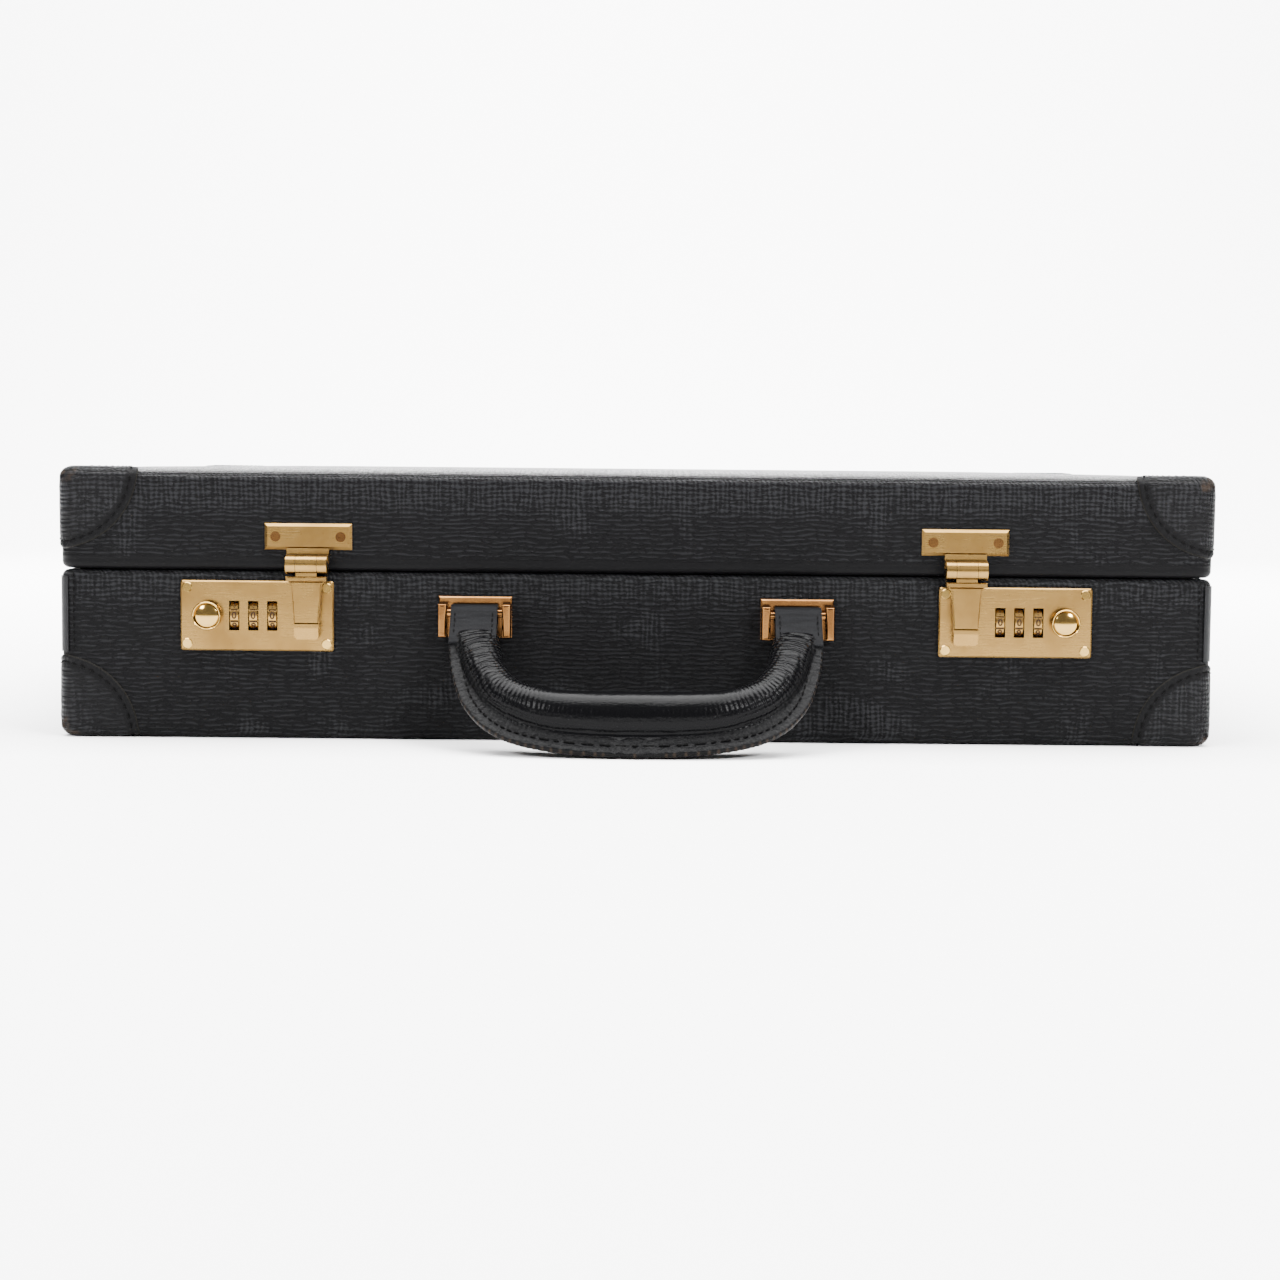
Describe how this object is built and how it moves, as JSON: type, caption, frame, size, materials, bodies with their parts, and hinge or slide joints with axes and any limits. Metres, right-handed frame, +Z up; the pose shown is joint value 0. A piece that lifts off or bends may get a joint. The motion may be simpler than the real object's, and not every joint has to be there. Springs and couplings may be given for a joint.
{
  "type": "attache case",
  "caption": "Hard-sided leather attache case with hinged lid, combination dials, sliding knob latches with hanging hasps, a swinging padded handle and lid stays.",
  "frame": {"origin": "centre of the case's footprint, on the surface that its base half lies on", "axes": "+X to the right seen from the front, -Y out of the front with the locks and the handle, +Z up"},
  "size_m": [0.44, 0.3847, 0.103],
  "materials": {
    "black_leather": "embossed satin grain",
    "corner_leather": "embossed satin grain, polished edges",
    "handle_leather": "embossed grain, worn glossy",
    "board": "raw board",
    "lining": "brushed suede",
    "black_metal": "satin black",
    "satin_brass": "satin brushed",
    "bright_brass": "polished",
    "rose_brass": "polished, coppery",
    "steel": "plain"
  },
  "bodies": {
    "base": {"base_bottom_panel": "black_leather", "base_cover": "black_leather", "base_shell": "board", "base_lining": "lining", "base_rim": "black_metal", "corner_strips": "corner_leather", "back_feet": "bright_brass", "base_hinge_leaves": "satin_brass", "hinge_pins": "bright_brass", "base_hinge_rivets": "bright_brass", "lock_plate_left": "satin_brass", "lock_plate_right": "satin_brass", "lock_cases": "steel", "dial_axles": "steel", "latch_springs": "steel", "lock_pins": "bright_brass", "handle_brackets": "rose_brass", "handle_pins": "rose_brass", "bracket_rivets": "rose_brass", "stay_tracks": "bright_brass", "track_rivets": "bright_brass", "base_corner_front_left": "corner_leather", "base_corner_front_right": "corner_leather", "base_corner_back_left": "corner_leather", "base_corner_back_right": "corner_leather"},
    "lid": {"lid_cover": "black_leather", "lid_shell": "board", "lid_lining": "lining", "stay_pivots": "bright_brass", "lid_pocket": "lining", "lid_hinge_leaves": "satin_brass", "lid_hinge_rivets": "bright_brass", "hasp_plate_left": "satin_brass", "hasp_plate_right": "satin_brass", "hasp_pins": "bright_brass", "hasp_plate_rivets": "rose_brass", "lid_corner_front_left": "corner_leather", "lid_corner_front_right": "corner_leather", "lid_corner_back_left": "corner_leather", "lid_corner_back_right": "corner_leather"},
    "handle": {"handle_grip": "handle_leather", "handle_core": "steel", "handle_loop_left": "handle_leather", "handle_loop_right": "handle_leather"},
    "hasp_left": {"hasp_left": "satin_brass", "hasp_hook_left": "steel"},
    "latch_left": {"latch_button_left": "bright_brass", "latch_slide_left": "steel"},
    "stay_left": {"stay_arm_left": "bright_brass"},
    "dial_left_1": {"dial_left_1": "satin_brass"},
    "dial_left_2": {"dial_left_2": "satin_brass"},
    "dial_left_3": {"dial_left_3": "satin_brass"},
    "hasp_right": {"hasp_right": "satin_brass", "hasp_hook_right": "steel"},
    "latch_right": {"latch_button_right": "bright_brass", "latch_slide_right": "steel"},
    "stay_right": {"stay_arm_right": "bright_brass"},
    "dial_right_1": {"dial_right_1": "satin_brass"},
    "dial_right_2": {"dial_right_2": "satin_brass"},
    "dial_right_3": {"dial_right_3": "satin_brass"}
  },
  "joints": [
    {"name": "lid_hinge", "type": "hinge", "parent": "base", "child": "lid", "pos_m": [0, 0.1641, 0.064], "axis": [-1, 0, 0], "range_deg": [0, 95]},
    {"name": "hasp_left_swing", "type": "hinge", "parent": "lid", "child": "hasp_left", "pos_m": [-0.1242, -0.1662, 0.0666], "axis": [-1, 0, 0], "range_deg": [0, 100]},
    {"name": "latch_left_slide", "type": "slide", "parent": "base", "child": "latch_left", "axis": [-1, 0, 0], "range_m": [0, 0.0035], "stiffness_N_per_m": 400, "springref_m": -0.001, "deforming": ["latch_springs"]},
    {"name": "dial_left_1_turn", "type": "hinge", "parent": "base", "child": "dial_left_1", "pos_m": [-0.1521, -0.1567, 0.04695], "axis": [1, 0, 0], "continuous": true},
    {"name": "dial_left_2_turn", "type": "hinge", "parent": "base", "child": "dial_left_2", "pos_m": [-0.1449, -0.1567, 0.04695], "axis": [1, 0, 0], "continuous": true},
    {"name": "dial_left_3_turn", "type": "hinge", "parent": "base", "child": "dial_left_3", "pos_m": [-0.1377, -0.1567, 0.04695], "axis": [1, 0, 0], "continuous": true},
    {"name": "stay_left_swing", "type": "hinge", "parent": "lid", "child": "stay_left", "pos_m": [-0.2099, 0.1386, 0.0741], "axis": [1, 0, 0], "range_deg": [0, 102.5]},
    {"name": "hasp_right_swing", "type": "hinge", "parent": "lid", "child": "hasp_right", "pos_m": [0.1242, -0.1662, 0.0666], "axis": [-1, 0, 0], "range_deg": [0, 100]},
    {"name": "latch_right_slide", "type": "slide", "parent": "base", "child": "latch_right", "axis": [1, 0, 0], "range_m": [0, 0.0035], "stiffness_N_per_m": 400, "springref_m": -0.001, "deforming": ["latch_springs"]},
    {"name": "dial_right_1_turn", "type": "hinge", "parent": "base", "child": "dial_right_1", "pos_m": [0.1377, -0.1567, 0.04695], "axis": [1, 0, 0], "continuous": true},
    {"name": "dial_right_2_turn", "type": "hinge", "parent": "base", "child": "dial_right_2", "pos_m": [0.1449, -0.1567, 0.04695], "axis": [1, 0, 0], "continuous": true},
    {"name": "dial_right_3_turn", "type": "hinge", "parent": "base", "child": "dial_right_3", "pos_m": [0.1521, -0.1567, 0.04695], "axis": [1, 0, 0], "continuous": true},
    {"name": "stay_right_swing", "type": "hinge", "parent": "lid", "child": "stay_right", "pos_m": [0.2099, 0.1386, 0.0741], "axis": [1, 0, 0], "range_deg": [0, 102.5]},
    {"name": "handle_swing", "type": "hinge", "parent": "base", "child": "handle", "pos_m": [0, -0.1667, 0.049], "axis": [-1, 0, 0], "range_deg": [-38, 127]}
  ],
  "couplings": [
    {"joint": "stay_left_swing", "follows": "lid_hinge", "ratio": 1.077},
    {"joint": "stay_right_swing", "follows": "lid_hinge", "ratio": 1.077}
  ]
}
